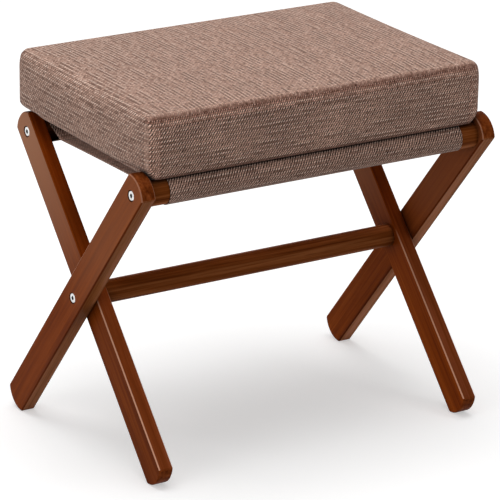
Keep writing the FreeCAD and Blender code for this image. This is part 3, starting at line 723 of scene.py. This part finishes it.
at_rim = over(distance_of(y), HALF_DEPTH - RIM_BAND)
at_rim = product(add, at_rim, math_node(add, "SUBTRACT", 1.0, inside_seam))

strip_along = choose(on_front, product(add, y, -1.0), choose(beside_panel, z, x))
strip_across = choose(on_front, choose(is_end, x, z), choose(beside_panel, x, z))
along, across = choose(inside_seam, strip_along, x), choose(inside_seam, strip_across, z)
cushion_weave = []
for top, end, front, border in zip(TOP_WEAVE, END_WEAVE, FRONT_WEAVE, BORDER_WEAVE):
    cushion_weave.append(choose(inside_seam, choose(is_end, top, end), choose(in_border, front, border)))
cushion_weave[1] = choose(at_rim, cushion_weave[1], EDGE_ALTERNATE)
cushion_weave[2] = choose(at_rim, cushion_weave[2], EDGE_DOTS)
colour, relief = weave(add, along, across, *cushion_weave)
colour = darkened(colour, product(add, by_panel, on_front, in_border), BORDER_TINT)
# Painted shade in the seam's crease, broken into dots
seam_change = rescale(add, noise(add, place, 330.0, 2.0, 0.6), *SEAM_CHANGE)
at_seam = rescale(add, distance_of(past_top), *SEAM_SHADE)
colour = darkened(colour, product(add, at_seam, seam_change, by_panel), SEAM_SHADE_TINT)
# Painted shade along the bottom edge of the panels, where the cushion lies on the sling
at_low_seam = rescale(add, z, SEAM_LOW + LOW_SEAM_SHADE, SEAM_LOW)
colour = darkened(colour, product(add, at_low_seam, by_panel), LOW_SEAM_SHADE_TINT)
# Painted shade in the topstitching's groove
at_stitch = rescale(add, distance_of(past_stitch), *STITCH_SHADE)
colour = darkened(colour, product(add, at_stitch, on_front, by_panel), SEAM_SHADE_TINT)
patches = choose(inside_seam, TOP_PATCHES, PANEL_PATCHES)
fine.materials.append(finish_cloth(parts, colour, relief, place, patches))
cushion.matrix_world = CUSHION_PLACE
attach(cushion, "cushion")
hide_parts("cushion_cover", "cushion_foam")

# Studio: a pale floor that turns white in the picture and keeps the shadow, and lets the view from below
# through. Its whitening is weaker near the stool, a painted shadow round it. A large soft lamp hangs almost
# straight above, a weak one stands on the left, and the surround is an even white.
FLOOR_REACH, FLOOR_PAINT = 12.0, (0.75, 0.75, 0.75, 1)
NEAR_SHADOW_LIFT, FAR_LIFT = (0.12, 0.55, 0.43, 0.54), (0.55, 2.0, 0.0, 0.14)
SURROUND_LIGHT, SURROUND_SEEN = 0.28, 1.0
SEEN_RAYS = ("Is Camera Ray", "Is Glossy Ray", "Is Transmission Ray")
AZIMUTH, ELEVATION = math.radians(-31.675), math.radians(18.726)
CAMERA_AT, LENS, SENSOR = (-1.8312, -2.9726, 1.3897), 219.36, 36.0

corners = [(-FLOOR_REACH, -FLOOR_REACH, 0), (FLOOR_REACH, -FLOOR_REACH, 0)]
corners += [(FLOOR_REACH, FLOOR_REACH, 0), (-FLOOR_REACH, FLOOR_REACH, 0)]
floor_mesh = bpy.data.meshes.new("floor")
floor_mesh.from_pydata(corners, [], [(0, 1, 2, 3)])
floor = mesh_object("floor", floor_mesh)
floor_paint, floor_shader, add, link = new_material("floor_white")
floor_shader.inputs["Base Color"].default_value = FLOOR_PAINT
floor_shader.inputs["Roughness"].default_value = 0.9
floor_shader.inputs["Specular IOR Level"].default_value = 0.0
path = add("ShaderNodeLightPath").outputs
in_sight = 0.0
for ray in SEEN_RAYS:
    in_sight = math_node(add, "MAXIMUM", in_sight, path[ray])
spot = add("ShaderNodeTexCoord").outputs["Object"]
off_centre = add("ShaderNodeVectorMath", {"operation": "LENGTH"}, _0=spot).outputs["Value"]
# The whitening is weaker near the stool: a painted shadow round it
white = math_node(add, "ADD", rescale(add, off_centre, *NEAR_SHADOW_LIFT), rescale(add, off_centre, *FAR_LIFT))
lift = add("ShaderNodeEmission", None, Color=(1, 1, 1, 1), Strength=product(add, in_sight, white)).outputs[0]
lifted = add("ShaderNodeAddShader", None, _0=floor_shader.outputs[0], _1=lift).outputs[0]
from_below = add("ShaderNodeNewGeometry").outputs["Backfacing"]
clear = add("ShaderNodeBsdfTransparent").outputs[0]
seen_floor = add("ShaderNodeMixShader", None, _0=from_below, _1=lifted, _2=clear).outputs[0]
tree = floor_paint.node_tree
tree.links.new(seen_floor, next(n for n in tree.nodes if n.type == "OUTPUT_MATERIAL").inputs[0])
floor_mesh.materials.append(floor_paint)

world = bpy.data.worlds.new("studio")
bpy.context.scene.world = world
world.use_nodes = True
tree = world.node_tree
surround = next(n for n in tree.nodes if n.type == "BACKGROUND")
surround.inputs["Color"].default_value = (1, 1, 1, 1)
path = tree.nodes.new("ShaderNodeLightPath").outputs
in_sight = path[SEEN_RAYS[0]]
for ray in SEEN_RAYS[1:]:
    either = tree.nodes.new("ShaderNodeMath")
    either.operation = "MAXIMUM"
    tree.links.new(in_sight, either.inputs[0])
    tree.links.new(path[ray], either.inputs[1])
    in_sight = either.outputs[0]
level = tree.nodes.new("ShaderNodeMapRange")
tree.links.new(in_sight, level.inputs["Value"])
level.inputs["To Min"].default_value = SURROUND_LIGHT
level.inputs["To Max"].default_value = SURROUND_SEEN
tree.links.new(level.outputs[0], surround.inputs["Strength"])


def aimed(at, towards):
    """The turn that points a lamp from its place towards a spot."""
    return (Vector(towards) - Vector(at)).to_track_quat("-Z", "Y").to_euler()


for name, at, towards, size, power in (
    ("top_lamp", (-0.05, 0.12, 2.6), (0.0, 0.0, 0.30), 2.1, 44.0),
    ("left_lamp", (-2.4, -0.5, 1.1), (0.0, 0.0, 0.25), 1.6, 11.5),
):
    light = bpy.data.lights.new(name, "AREA")
    light.size = size
    light.energy = power
    lamp = mesh_object(name, light)
    lamp.location = at
    lamp.rotation_euler = aimed(at, towards)

camera_data = bpy.data.cameras.new("camera")
camera_data.sensor_width = SENSOR
camera_data.lens = LENS
camera_data.clip_end = 100.0
camera = mesh_object("camera", camera_data)
right = Vector((math.cos(AZIMUTH), math.sin(AZIMUTH), 0.0))
level_back = Vector((math.sin(AZIMUTH), -math.cos(AZIMUTH), 0.0))
back = level_back * math.cos(ELEVATION) + Vector((0.0, 0.0, math.sin(ELEVATION)))
turn = Matrix((right, back.cross(right), back)).transposed().to_4x4()
camera.matrix_world = Matrix.Translation(CAMERA_AT) @ turn
bpy.context.scene.camera = camera
bpy.context.scene.view_settings.view_transform = "Standard"
